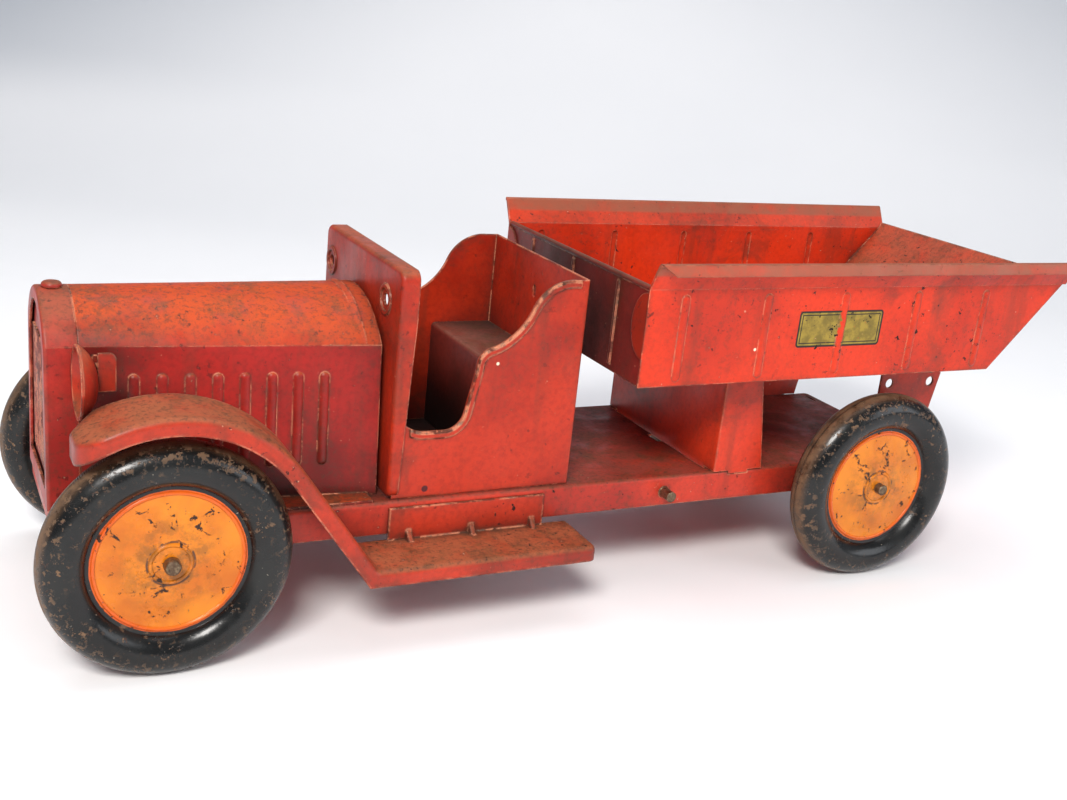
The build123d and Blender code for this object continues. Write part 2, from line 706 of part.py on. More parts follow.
with BuildPart() as front_axle_spacers:
    for side in SIDES.values():
        middle = side * (FRAME_HALF + front_spacer_end) / 2
        with Locations(Location((FRONT_AXLE_X, middle, WHEEL_R), (90, 0, 0))):
            Cylinder(hub_r, front_spacer_end - FRAME_HALF)
    with Locations(Location((FRONT_AXLE_X, 0, WHEEL_R), (90, 0, 0))):
        Cylinder(AXLE_R, 4 * WHEEL_MID_Y, mode=Mode.SUBTRACT)
save(front_axle_spacers, "front_axle_spacers")

with BuildPart() as rear_axle:
    with Locations(Location((REAR_AXLE_X, 0, WHEEL_R), (90, 0, 0))):
        Cylinder(AXLE_R, 2 * (wheel_out_y + 3.6))
    chamfer(rear_axle.edges(), 0.3)
save(rear_axle, "rear_axle")

with BuildPart() as rear_axle_spacers:
    for side in SIDES.values():
        middle = side * (rear_spacer_start + wheel_in_y) / 2
        with Locations(Location((REAR_AXLE_X, middle, WHEEL_R), (90, 0, 0))):
            Cylinder(hub_r, wheel_in_y - rear_spacer_start)
    with Locations(Location((REAR_AXLE_X, 0, WHEEL_R), (90, 0, 0))):
        Cylinder(AXLE_R, 4 * WHEEL_MID_Y, mode=Mode.SUBTRACT)
save(rear_axle_spacers, "rear_axle_spacers")


# ---------------------------------------------------------------- lift shaft

stub_length = 6.2
shaft_end_y = FRAME_HALF + 0.5

with BuildPart() as lift_shaft:
    with Locations(Location((SHAFT_X, 0, SHAFT_Z), (90, 0, 0))):
        Cylinder(SHAFT_R, 2 * shaft_end_y)
    chamfer(lift_shaft.edges(), 0.3)
    with BuildSketch(side_plane(shaft_end_y)):
        with Locations((SHAFT_X, SHAFT_Z)):
            Circle(STUB_R)
    extrude(amount=-stub_length)
save(lift_shaft, "lift_shaft")

with BuildPart() as lift_shaft_collars:
    for side in SIDES.values():
        with Locations(Location((SHAFT_X, side * (FRAME_HALF - SHEET - end_play - 2), SHAFT_Z), (90, 0, 0))):
            Cylinder(4.6, 4)
    with Locations(Location((SHAFT_X, 0, SHAFT_Z), (90, 0, 0))):
        Cylinder(SHAFT_R, 2 * FRAME_HALF, mode=Mode.SUBTRACT)
save(lift_shaft_collars, "lift_shaft_collars")


# ---------------------------------------------------------------- pedestal and rear brackets

pedestal_top = BED_BOTTOM - 0.2
tab_depth = 1.4

with BuildPart() as bed_pedestal:
    with BuildSketch(cross_plane(PEDESTAL_X)):
        with Locations((0, (DECK_TOP + pedestal_top) / 2)):
            Rectangle(2 * FRAME_HALF, pedestal_top - DECK_TOP)
        with Locations((0, DECK_TOP - tab_depth / 2)):
            Rectangle(80, tab_depth)
    extrude(amount=-SHEET)
    for side in SIDES.values():
        with BuildSketch(side_plane(side * FRAME_HALF)):
            with BuildLine():
                Polyline(
                    (PEDESTAL_X, DECK_TOP),
                    (PEDESTAL_X, pedestal_top),
                    (PEDESTAL_X - 19, pedestal_top),
                    (PEDESTAL_X - 26.6, DECK_TOP),
                    close=True,
                )
            make_face()
            with Locations((pedestal_tabs[0], DECK_TOP - tab_depth / 2)):
                Rectangle(pedestal_tabs[1], tab_depth)
        extrude(amount=side * SHEET)
    # flange turned back along the top, on which the bed rests
    with BuildSketch(Plane.XY.offset(pedestal_top)):
        with Locations((PEDESTAL_X - 5, 0)):
            Rectangle(10, 2 * FRAME_HALF)
    extrude(amount=-SHEET)
    fillet(bed_pedestal.edges().filter_by(Axis.Z).group_by(Axis.X)[-1], 0.9)
save(bed_pedestal, "bed_pedestal")

bracket_front_x = -146.0
bracket_foot_x = -175.5
bracket_wide_x = -183.4
bracket_wide_z = 93.0
lobe_r = 3.6

with BuildPart() as left_bracket:
    with BuildSketch(side_plane(FRAME_HALF)):
        with BuildLine():
            Polyline(
                (HINGE_X, HINGE_Z + lobe_r),
                (bracket_front_x, HINGE_Z + lobe_r),
                (bracket_front_x, DECK_TOP),
                (bracket_foot_x, DECK_TOP),
                (bracket_wide_x, bracket_wide_z),
                (HINGE_X - lobe_r * sin(radians(50)), HINGE_Z + lobe_r * cos(radians(50))),
            )
            ThreePointArc(
                (HINGE_X - lobe_r * sin(radians(50)), HINGE_Z + lobe_r * cos(radians(50))),
                (HINGE_X - lobe_r * sin(radians(25)), HINGE_Z + lobe_r * cos(radians(25))),
                (HINGE_X, HINGE_Z + lobe_r),
            )
        make_face()
        with Locations((bracket_tabs[0], DECK_TOP - tab_depth / 2)):
            Rectangle(bracket_tabs[1], tab_depth)
        with Locations(*BRACKET_HOLES):
            Circle(BRACKET_HOLE_R, mode=Mode.SUBTRACT)
        with Locations((HINGE_X, HINGE_Z)):
            Circle(HINGE_ROD_R, mode=Mode.SUBTRACT)
    extrude(amount=SHEET)
save(left_bracket, "rear_bracket_left")

with BuildPart() as right_bracket:
    mirror(left_bracket.part, about=Plane.XZ)
save(right_bracket, "rear_bracket_right")

with BuildPart() as bed_hinge_rod:
    with Locations(Location((HINGE_X, 0, HINGE_Z), (90, 0, 0))):
        Cylinder(HINGE_ROD_R, 2 * FRAME_HALF)
    for side in SIDES.values():
        with Locations(Location((HINGE_X, side * (FRAME_HALF + 0.5), HINGE_Z), (90, 0, 0))):
            Cylinder(2.5, 1.0)
save(bed_hinge_rod, "bed_hinge_rod")


# ---------------------------------------------------------------- dump bed

tail_run = (TAIL_FOOT_X - TAIL_TOP_X) / (BED_WALL_TOP - BED_BOTTOM)  # tail's set-back per mm of rise
tail_step = SHEET * (1 + tail_run**2) ** 0.5  # the tail's thickness measured along X
tail_lip_z = BED_WALL_TOP + 2.5
wall_front_x = BED_FRONT_X + SHEET
rib_middle_z = (BED_BOTTOM + BED_WALL_TOP) / 2 - 0.5
rib_length = BED_WALL_TOP - BED_BOTTOM - 3.5
bed_rib_r = 2.7
bed_rib_rise = 0.9


def tail_x(z):
    """Where the outside of the sloping tail stands at a height."""
    return TAIL_FOOT_X - tail_run * (z - BED_BOTTOM)


def bed_ribs(depth, mode):
    """The rows of upright ribs along both walls of the bed, drawn in by depth."""
    rib_y = BED_HALF + bed_rib_rise - bed_rib_r
    for index in range(BED_RIB_COUNT):
        x = BED_RIB_FIRST_X - index * BED_RIB_PITCH
        with Locations((x, rib_y, rib_middle_z), (x, -rib_y, rib_middle_z)):
            add(pressed_rib(bed_rib_r - depth, rib_length - 2 * depth), mode=mode)


with BuildPart() as bed_body:
    with BuildSketch(side_plane(BED_HALF)):
        with BuildLine():
            Polyline(
                (wall_front_x, BED_BOTTOM),
                (TAIL_FOOT_X, BED_BOTTOM),
                (TAIL_TOP_X, BED_WALL_TOP),
                (wall_front_x, BED_WALL_TOP),
                close=True,
            )
        make_face()
    extrude(amount=2 * BED_HALF)
    bed_ribs(0, Mode.ADD)
    inner_half = BED_HALF - SHEET
    with BuildSketch(side_plane(inner_half)):
        with BuildLine():
            Polyline(
                (wall_front_x + 1, BED_BOTTOM + SHEET),
                (tail_x(BED_BOTTOM + SHEET) + tail_step, BED_BOTTOM + SHEET),
                (tail_x(BED_WALL_TOP + 8) + tail_step, BED_WALL_TOP + 8),
                (wall_front_x + 1, BED_WALL_TOP + 8),
                close=True,
            )
        make_face()
    extrude(amount=2 * inner_half, mode=Mode.SUBTRACT)
    bed_ribs(SHEET, Mode.SUBTRACT)
    # the floor stops at the front wall
    with BuildSketch(Plane.XY.offset(BED_BOTTOM)):
        with Locations((wall_front_x, 0)):
            Rectangle(4 * SHEET, 2 * inner_half)
    extrude(amount=SHEET, mode=Mode.SUBTRACT)
    # lip of the tail, a little higher than the bend of the side walls
    with BuildSketch(side_plane(BED_HALF)):
        with BuildLine():
            Polyline(
                (tail_x(BED_WALL_TOP - 1), BED_WALL_TOP - 1),
                (tail_x(tail_lip_z), tail_lip_z),
                (tail_x(tail_lip_z) + tail_step, tail_lip_z),
                (tail_x(BED_WALL_TOP - 1) + tail_step, BED_WALL_TOP - 1),
                close=True,
            )
        make_face()
    extrude(amount=2 * BED_HALF)
    # side flares, each folded over at its top into a hem
    flare_x = wall_front_x
    flare_length = wall_front_x - tail_x(tail_lip_z) - 0.6
    for side in SIDES.values():
        with BuildSketch(cross_plane(flare_x)):
            with BuildLine():
                Polyline(
                    (side * inner_half, BED_WALL_TOP),
                    (side * (inner_half + FLARE_OUT), BED_WALL_TOP + FLARE_UP),
                    (side * (inner_half + FLARE_OUT + 0.8), BED_WALL_TOP + FLARE_UP + 0.7),
                    (side * (inner_half + FLARE_OUT + 2.2), BED_WALL_TOP + FLARE_UP + 0.4),
                    (side * (inner_half + FLARE_OUT + 3.2), BED_WALL_TOP + FLARE_UP - 4.4),
                    (side * (inner_half + FLARE_OUT + 2.2), BED_WALL_TOP + FLARE_UP - 4.6),
                    (side * (inner_half + FLARE_OUT + 1.4), BED_WALL_TOP + FLARE_UP - 1.0),
                    (side * (inner_half + FLARE_OUT + 0.8), BED_WALL_TOP + FLARE_UP - 0.7),
                    (side * BED_HALF, BED_WALL_TOP - 0.6),
                    close=True,
                )
            make_face()
        extrude(amount=-flare_length)
        # mitred front end of the hem
        with BuildSketch(side_plane(side * (BED_HALF + 12))):
            with BuildLine():
                Polyline((flare_x + 1, 154), (flare_x + 1, 147), (flare_x - 9, 147), close=True)
            make_face()
        extrude(amount=side * 6.1, mode=Mode.SUBTRACT)
        # rounded flap folded over the front wall
        with BuildSketch(cross_plane(BED_FRONT_X)):
            with Locations((side * (BED_HALF - 0.5), 126)):
                Ellipse(10.5, 14)
            with Locations((side * (BED_HALF + 10), 126)):
                Rectangle(20, 40, mode=Mode.SUBTRACT)
        extrude(amount=SHEET)
save(bed_body, "bed_body")

with BuildPart() as bed_front_wall:
    with BuildSketch(cross_plane(BED_FRONT_X)):
        with Locations((0, (BED_BOTTOM + BED_WALL_TOP) / 2)):
            Rectangle(2 * inner_half, BED_WALL_TOP - BED_BOTTOM)
    extrude(amount=-SHEET)
    with BuildSketch(side_plane(inner_half)):
        with Locations((BED_FRONT_X - 0.6, BED_WALL_TOP - 0.4)):
            Circle(1.2)
    extrude(amount=2 * inner_half)
    # three upright creases
    with BuildSketch(cross_plane(BED_FRONT_X)):
        for y in (-40, 0, 40):
            with Locations((y, (BED_BOTTOM + BED_WALL_TOP) / 2)):
                Rectangle(2.2, 37)
    extrude(amount=0.6, taper=30)
save(bed_front_wall, "bed_front_wall")

lug_sheet = 1.5
lug_y = 45.0

with BuildPart() as bed_hinge_strap:
    with BuildSketch(Plane.XY.offset(BED_BOTTOM)):
        with Locations((HINGE_X, 0)):
            Rectangle(16, 2 * lug_y)
    extrude(amount=-SHEET)
    for side in SIDES.values():
        with BuildSketch(side_plane(side * lug_y)):
            with Locations((HINGE_X, (HINGE_Z + BED_BOTTOM) / 2)):
                Rectangle(2 * lobe_r, BED_BOTTOM - HINGE_Z)
            with Locations((HINGE_X, HINGE_Z)):
                Circle(lobe_r)
                Circle(HINGE_ROD_R + RUNNING_FIT, mode=Mode.SUBTRACT)
        extrude(amount=side * lug_sheet)
save(bed_hinge_strap, "bed_hinge_strap")
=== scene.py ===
"""Looks for the toy dump truck: materials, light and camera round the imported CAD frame."""

from math import cos, radians, sin

import bpy
from mathutils import Matrix, Vector

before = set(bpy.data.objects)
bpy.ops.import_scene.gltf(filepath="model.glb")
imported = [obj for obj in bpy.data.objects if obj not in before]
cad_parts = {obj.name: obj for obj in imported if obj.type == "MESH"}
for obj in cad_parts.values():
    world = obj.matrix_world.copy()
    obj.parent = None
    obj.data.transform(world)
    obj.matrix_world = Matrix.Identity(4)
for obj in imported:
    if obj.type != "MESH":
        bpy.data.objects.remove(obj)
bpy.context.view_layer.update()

MM = 0.001
COLOUR_A, COLOUR_B, COLOUR_RESULT = 6, 7, 2  # colour sockets of the Mix node
AXLE_HEIGHT = 0.045
FRONT_AXLE_X = 0.190
REAR_AXLE_X = -0.136
WHEEL_MID_Y = 0.0645
NEARBY_SAMPLES = 4  # rays of the bevel and occlusion nodes


def linear(red, green, blue):
    """Scene-linear colour of an sRGB triple given as 0 to 255."""
    out = []
    for value in (red, green, blue):
        v = value / 255
        out.append(v / 12.92 if v <= 0.04045 else ((v + 0.055) / 1.055) ** 2.4)
    return (*out, 1.0)


class Graph:
    """Small helper that builds one node material."""

    def __init__(self, name):
        self.material = bpy.data.materials.new(name)
        self.material.use_nodes = True
        self.tree = self.material.node_tree
        self.tree.nodes.clear()
        output = self.node("ShaderNodeOutputMaterial")
        self.shader = self.node("ShaderNodeBsdfPrincipled")
        self.link(self.shader.outputs["BSDF"], output.inputs["Surface"])
        coordinates = self.node("ShaderNodeTexCoord")
        self.place = coordinates.outputs["Object"]
        split = self.node("ShaderNodeSeparateXYZ")
        self.link(self.place, split.inputs[0])
        self.x, self.y, self.z = split.outputs
        facing = self.node("ShaderNodeSeparateXYZ")
        self.link(coordinates.outputs["Normal"], facing.inputs[0])
        self.up = facing.outputs["Z"]

    def node(self, kind, **settings):
        made = self.tree.nodes.new(kind)
        for key, value in settings.items():
            setattr(made, key, value)
        return made

    def link(self, source, target):
        self.tree.links.new(source, target)

    def feed(self, target, value):
        """Link a socket to target, or set target to a plain value."""
        if isinstance(value, bpy.types.NodeSocket):
            self.link(value, target)
        else:
            target.default_value = value

    def math(self, operation, a, b=0.0):
        made = self.node("ShaderNodeMath", operation=operation)
        self.feed(made.inputs[0], a)
        self.feed(made.inputs[1], b)
        return made.outputs[0]

    def mix(self, amount, a, b):
        """Colour a where amount is 0 and colour b where it is 1."""
        made = self.node("ShaderNodeMix", data_type="RGBA")
        self.feed(made.inputs["Factor"], amount)
        self.feed(made.inputs[COLOUR_A], a)
        self.feed(made.inputs[COLOUR_B], b)
        return made.outputs[COLOUR_RESULT]

    def step(self, value, low, high, to_low=0.0, to_high=1.0):
        """Smooth change from to_low at low to to_high at high; low may be the larger one."""
        made = self.node("ShaderNodeMapRange", interpolation_type="SMOOTHSTEP")
        for index, entry in enumerate((value, low, high, to_low, to_high)):
            self.feed(made.inputs[index], entry)
        return made.outputs[0]

    def noise(self, size, detail=3.0, rough=0.55, stretch=None, distortion=0.0):
        """Noise whose features are about size metres across, from 0 to 1."""
        made = self.node("ShaderNodeTexNoise")
        made.inputs["Scale"].default_value = 1 / size
        made.inputs["Detail"].default_value = detail
        made.inputs["Roughness"].default_value = rough
        made.inputs["Distortion"].default_value = distortion
        vector = self.place
        if stretch:
            scaled = self.node("ShaderNodeMapping")
            self.link(self.place, scaled.inputs["Vector"])
            scaled.inputs["Scale"].default_value = stretch
            vector = scaled.outputs[0]
        self.link(vector, made.inputs["Vector"])
        return made.outputs["Fac"]

    def rounded(self, radius):
        """Normal rounded over the edges within radius."""
        made = self.node("ShaderNodeBevel", samples=NEARBY_SAMPLES)
        made.inputs["Radius"].default_value = radius
        return made.outputs[0]

    def edge(self, rounded):
        """Mask of the convex and concave edges, where the rounded normal leaves the plain one."""
        plain = self.node("ShaderNodeNewGeometry")
        dot = self.node("ShaderNodeVectorMath", operation="DOT_PRODUCT")
        self.link(rounded, dot.inputs[0])
        self.link(plain.outputs["Normal"], dot.inputs[1])
        return self.step(dot.outputs["Value"], 0.995, 0.90)

    def hidden(self, distance):
        """Mask of nooks and joints, from 0 in the open to 1 deep inside."""
        made = self.node("ShaderNodeAmbientOcclusion", samples=NEARBY_SAMPLES)
        made.inputs["Distance"].default_value = distance
        return self.math("SUBTRACT", 1.0, made.outputs["AO"])

    def times(self, *values):
        """Product of all values."""
        result = values[0]
        for value in values[1:]:
            result = self.math("MULTIPLY", result, value)
        return result

    def most(self, *values):
        """Largest of all values."""
        result = values[0]
        for value in values[1:]:
            result = self.math("MAXIMUM", result, value)
        return result

    def length(self, a, b):
        """Length of the vector with the components a and b."""
        return self.math("SQRT", self.math("ADD", self.times(a, a), self.times(b, b)))

    def off(self, value, middle):
        """Distance of value from middle, to either side."""
        return self.math("ABSOLUTE", self.math("SUBTRACT", value, middle))

    def spot(self, x, z, radius):
        """Round mask on the left side of the truck, centred at x and z."""
        far = self.length(self.math("SUBTRACT", self.x, x), self.math("SUBTRACT", self.z, z))
        return self.times(self.step(far, radius, radius * 0.75), self.step(self.y, 0.0, 0.01))

    def cab_hollow_shade(self):
        """Mask of painted shade in the hollow behind the cab's doorway, strongest low down."""
        along = self.times(self.step(self.x, 19.7 * MM, 20.5 * MM), self.step(self.x, 98.5 * MM, 94.0 * MM))
        across = self.step(self.math("ABSOLUTE", self.y), 44.1 * MM, 43.5 * MM)
        return self.times(along, across, self.step(self.z, 90.0 * MM, 62.0 * MM, 0.0, 0.92))

    def bump(self, height, distance, normal=None):
        """Normal of a relief that is distance metres high, laid over another normal."""
        made = self.node("ShaderNodeBump")
        made.inputs["Strength"].default_value = 1.0
        made.inputs["Distance"].default_value = distance
        self.link(height, made.inputs["Height"])
        if normal is not None:
            self.link(normal, made.inputs["Normal"])
        return made.outputs[0]

    def dress(self, colour, roughness, normal):
        """Wire the finished colour, roughness and normal to the shader."""
        self.link(colour, self.shader.inputs["Base Color"])
        self.link(roughness, self.shader.inputs["Roughness"])
        self.link(normal, self.shader.inputs["Normal"])

    def lacquer(self, specular, coat, coat_roughness):
        """Constant gloss of a painted surface."""
        self.shader.inputs["Specular IOR Level"].default_value = specular
        self.shader.inputs["Coat Weight"].default_value = coat
        self.shader.inputs["Coat Roughness"].default_value = coat_roughness


BROWN = linear(74, 48, 34)
DARK = linear(26, 18, 15)
STEEL = linear(138, 122, 104)
OLIVE = linear(92, 66, 38)
RUBBED_PAINT_AND_HIGHLIGHT = linear(226, 146, 110)


def enamel(name, base, deep, dusty, dust, grime_and_shade, wear=1.0, chips=0.5, reach=0.014, bend=0.0009,
           spots=(), label=None, shade_cab_hollow=False, hem=None):
    """Old sprayed enamel on sheet steel: faded, dusty on top, worn and painted lighter as highlight along
    bends, with painted shade darkening the nooks.

    reach is how far nooks are looked for and bend how wide an edge counts. spots are coloured dots
    given as x, z, radius in mm and colour; hem is the height from which the bed's rim is dirty.
    """
    g = Graph(name)
    broad = g.noise(0.06, 4.0)
    middle = g.noise(0.013, 5.0, 0.62)
    fine = g.noise(0.0022, 4.0, 0.6)
    colour = g.mix(g.step(broad, 0.38, 0.66), base, deep)
    colour = g.mix(g.times(g.step(fine, 0.40, 0.72), 0.45), colour, deep)
    smudge = g.times(g.step(g.noise(0.028, 6.0, 0.7, distortion=0.6), 0.54, 0.70), grime_and_shade, 0.5)
    colour = g.mix(smudge, colour, BROWN)
    # vertical streaks of dirt
    streak = g.noise(0.012, 4.0, 0.6, stretch=(1.0, 1.0, 0.12))
    colour = g.mix(g.times(g.step(streak, 0.52, 0.72), 0.35), colour, BROWN)
    # dust and fading on whatever faces up
    upward = g.step(g.up, 0.25, 0.85)
    dusting = g.times(upward, g.step(middle, 0.22, 0.62, 0.45, 1.0), dust)
    colour = g.mix(dusting, colour, dusty)
    olive = g.times(upward, g.step(g.noise(0.015, 8.0, 0.82), 0.47, 0.62), dust, 0.6)
    colour = g.mix(olive, colour, OLIVE)
    grain = g.times(upward, g.step(g.noise(0.0017, 5.0, 0.7), 0.50, 0.62), dust, 0.55)
    colour = g.mix(grain, colour, BROWN)
    # a film of brown dirt with a fine grain, heavier in patches
    film = g.step(g.noise(0.0028, 6.0, 0.75), 0.46, 0.66)
    film = g.times(film, g.step(broad, 0.42, 0.62, 0.25, 1.0), grime_and_shade, 0.55)
    colour = g.mix(film, colour, BROWN)
    # painted shade in nooks and joints, found by occlusion, partly dirt in the joints
    nook_shade_and_grime = g.hidden(reach)
    nook_shade_and_grime = g.times(g.step(nook_shade_and_grime, 0.20, 0.80), g.step(middle, 0.2, 0.6, 0.6, 1.0), grime_and_shade)
    colour = g.mix(nook_shade_and_grime, colour, DARK)
    if label:
        colour = label(g, colour)
    # edges: dirty beside the bend, lighter on it as rubbed paint and painted highlight, then through to
    # brown steel
    beside = g.edge(g.rounded(bend * 3.0))
    dirty_edge = g.times(beside, g.step(g.noise(0.009, 5.0, 0.7), 0.42, 0.58), wear, 0.65)
    colour = g.mix(dirty_edge, colour, BROWN)
    rounded = g.rounded(bend)
    edge = g.edge(rounded)
    rubbed_and_highlight = g.times(edge, g.step(middle, 0.36, 0.50), wear)
    colour = g.mix(rubbed_and_highlight, colour, RUBBED_PAINT_AND_HIGHLIGHT)
    bare = g.times(edge, g.step(g.noise(0.007, 5.0, 0.7), 0.52, 0.60), wear)
    colour = g.mix(bare, colour, STEEL)
    rust_edge = g.times(edge, g.step(g.noise(0.010, 5.0, 0.7, distortion=0.4), 0.49, 0.56), wear)
    colour = g.mix(rust_edge, colour, BROWN)
    # chips and specks
    cluster = g.step(g.noise(0.045, 3.0), 0.40, 0.58)
    chip = g.times(g.step(g.noise(0.0034, 5.0, 0.62), 0.635, 0.67), cluster, chips)
    colour = g.mix(chip, colour, DARK)
    speck = g.times(g.step(g.noise(0.0013, 2.0), 0.66, 0.72), g.step(g.noise(0.03, 2.0), 0.35, 0.65), chips)
    colour = g.mix(speck, colour, linear(52, 28, 22))
    pale = g.times(g.step(g.noise(0.0017, 2.0), 0.73, 0.77), chips, 0.7)
    colour = g.mix(pale, colour, linear(206, 150, 122))
    if hem:
        # the flaps folded in at the bed's front are painted darker than its sides: painted shade of the
        # cab's shadow
        between_sides = g.step(g.math("ABSOLUTE", g.y), 65.9 * MM, 65.6 * MM)
        flap_shade = g.times(g.step(g.x, 1.8 * MM, 2.1 * MM), between_sides)
        colour = g.mix(g.times(flap_shade, 0.6), colour, linear(70, 24, 20))
        band = g.times(g.step(g.z, hem, hem + 1.5 * MM), g.step(middle, 0.25, 0.60, 0.35, 0.85))
        colour = g.mix(band, colour, linear(146, 84, 60))
    # painted shade, near black, in the hollow behind the cab's doorway
    if shade_cab_hollow:
        colour = g.mix(g.cab_hollow_shade(), colour, linear(22, 14, 12))
    for x, z, radius, tint in spots:
        colour = g.mix(g.spot(x * MM, z * MM, radius * MM), colour, tint)
    g.link(g.times(bare, 0.8), g.shader.inputs["Metallic"])
    rough = g.step(g.noise(0.02, 5.0), 0.3, 0.7, 0.32, 0.50)
    for mask, roughness in ((dusting, 0.8), (nook_shade_and_grime, 0.8), (chip, 0.8), (olive, 0.85), (film, 0.9)):
        rough = g.most(rough, g.times(mask, roughness))
    waves = g.bump(g.noise(0.016, 2.0), 0.30 * MM, rounded)
    peel = g.bump(g.noise(0.0011, 3.0), 0.03 * MM, waves)
    lowered = g.math("SUBTRACT", 1.0, g.most(chip, bare, rust_edge))
    g.dress(colour, rough, g.bump(lowered, 0.06 * MM, peel))
    g.lacquer(specular=0.3, coat=0.06, coat_roughness=0.22)
    return g.material


def plate_label(g, colour):
    """Worn printed plate with a double border and nothing written on it, rubbed off along one rib."""
    rib_x = -99.0 * MM
    middle_x, middle_z = -98.5 * MM, 122.8 * MM
    half_x, half_z, corner = 23.5 * MM, 8.2 * MM, 1.8 * MM
    dx = g.math("SUBTRACT", g.off(g.x, middle_x), half_x - corner)
    dz = g.math("SUBTRACT", g.off(g.z, middle_z), half_z - corner)
    outside = g.length(g.math("MAXIMUM", dx, 0.0), g.math("MAXIMUM", dz, 0.0))
    within = g.math("MINIMUM", g.math("MAXIMUM", dx, dz), 0.0)
    far = g.math("SUBTRACT", g.math("ADD", outside, within), corner)
    on_wall = g.step(g.math("ABSOLUTE", g.y), 65.7 * MM, 65.9 * MM)
    torn = g.times(g.math("SUBTRACT", g.noise(0.005, 5.0, 0.75), 0.5), 7.0 * MM)
    from_rib = g.math("ADD", g.off(g.x, rib_x), torn)
    unworn = g.step(g.noise(0.0030, 4.0, 0.7), 0.69, 0.65)
    kept = g.times(g.step(from_rib, 1.3 * MM, 1.7 * MM), unworn, on_wall)
    inside = g.times(g.step(far, 0.0, -0.15 * MM), kept)
    gold = g.mix(g.step(g.noise(0.004, 4.0), 0.35, 0.65), linear(158, 134, 50), linear(118, 100, 36))
    colour = g.mix(inside, colour, gold)
    for depth, half_width in ((0.45, 0.55), (1.9, 0.30)):
        from_line = g.math("ABSOLUTE", g.math("ADD", far, depth * MM))
        line = g.times(g.step(from_line, half_width * MM, half_width * 0.6 * MM), kept)
        colour = g.mix(line, colour, linear(34, 24, 20))
    return colour


def wheel_paint(name, axle_x):
    """Black enamel tyre with rust specks, and an orange disc inside it."""
    disc_outer, disc_inner = 27.75 * MM, 27.55 * MM
    hub_ring_radius = 8.4 * MM
    crimp_turns = 300.0
    g = Graph(name)
    dx = g.math("SUBTRACT", g.x, axle_x)
    dz = g.math("SUBTRACT", g.z, AXLE_HEIGHT)
    radius = g.length(dx, dz)
    ragged = g.math("ADD", radius, g.times(g.math("SUBTRACT", g.noise(0.004, 3.0), 0.5), 0.6 * MM))
    disc = g.step(ragged, disc_outer, disc_inner)
    off_middle = g.off(g.math("ABSOLUTE", g.y), WHEEL_MID_Y)
    tread = g.times(g.step(off_middle, 0.0062, 0.0018), g.step(radius, 0.040, 0.0432))
    broad = g.noise(0.02, 4.0)
    fine = g.noise(0.0028, 5.0, 0.7)
    # tyre
    black = g.mix(g.step(broad, 0.35, 0.7), linear(12, 13, 13), linear(28, 29, 28))
    patches = g.step(g.noise(0.017, 4.0, 0.6), 0.50, 0.66)
    worn_zone = g.most(patches, g.times(g.step(radius, 0.034, 0.044), 0.75))
    flecks = g.times(g.step(fine, 0.555, 0.585), worn_zone)
    black = g.mix(g.times(flecks, 0.85), black, linear(128, 98, 72))
    rust = g.times(g.step(g.noise(0.0022, 5.0, 0.7), 0.60, 0.66), worn_zone)
    black = g.mix(g.times(rust, 0.8), black, linear(96, 62, 44))
    dirty = g.times(tread, g.step(g.noise(0.006, 5.0, 0.7), 0.35, 0.60, 0.35, 1.0))
    black = g.mix(dirty, black, linear(112, 84, 60))
    pale = g.times(g.step(g.noise(0.0012, 2.0), 0.72, 0.78), 0.8)
    black = g.mix(pale, black, linear(170, 160, 145))
    # disc
    orange = g.mix(g.step(broad, 0.32, 0.7), linear(224, 130, 22), linear(198, 102, 16))
    orange = g.mix(g.step(radius, 0.0250, 0.0265, 0.0, 0.7), orange, linear(216, 78, 22))
    aged = g.times(g.step(g.noise(0.009, 6.0, 0.75), 0.42, 0.62), g.step(radius, 0.026, 0.008), 0.7)
    orange = g.mix(aged, orange, linear(122, 78, 26))
    scratch = g.step(g.noise(0.0075, 6.0, 0.66, distortion=1.2), 0.60, 0.625)
    scratch = g.times(scratch, g.step(g.noise(0.0016, 3.0), 0.42, 0.52))
    dots = g.step(g.noise(0.0021, 3.0), 0.69, 0.73)
    chip = g.times(g.most(scratch, dots), disc)
    orange = g.mix(chip, orange, linear(52, 32, 22))
    ring = g.step(g.off(radius, hub_ring_radius), 0.0006, 0.0002)
    ring = g.times(ring, g.step(g.noise(0.004, 4.0), 0.44, 0.52))
    orange = g.mix(g.times(ring, 0.9), orange, linear(72, 46, 32))
    colour = g.mix(disc, black, orange)
    rough = g.step(broad, 0.3, 0.7, 0.18, 0.32)
    for mask, roughness in ((flecks, 0.7), (dirty, 0.75), (rust, 0.8), (chip, 0.8)):
        rough = g.most(rough, g.times(mask, roughness))
    # crimped seam round the tread
    angle = g.math("ARCTAN2", dz, dx)
    teeth = g.math("SINE", g.math("MULTIPLY", angle, crimp_turns))
    seam = g.times(teeth, g.step(off_middle, 0.0011, 0.0005), g.step(radius, 0.0445, 0.0448))
    groove = g.times(g.step(off_middle, 0.0003, 0.0), g.step(radius, 0.0442, 0.0447), -2.0)
    crimp = g.bump(g.math("ADD", seam, groove), 0.22 * MM, g.rounded(0.5 * MM))
    lowered = g.math("SUBTRACT", 1.0, g.most(flecks, chip, rust))
    pitted = g.bump(lowered, 0.10 * MM, crimp)
    g.dress(colour, rough, g.bump(g.noise(0.0010, 3.0), 0.04 * MM, pitted))
    g.lacquer(specular=0.35, coat=0.10, coat_roughness=0.14)
    return g.material


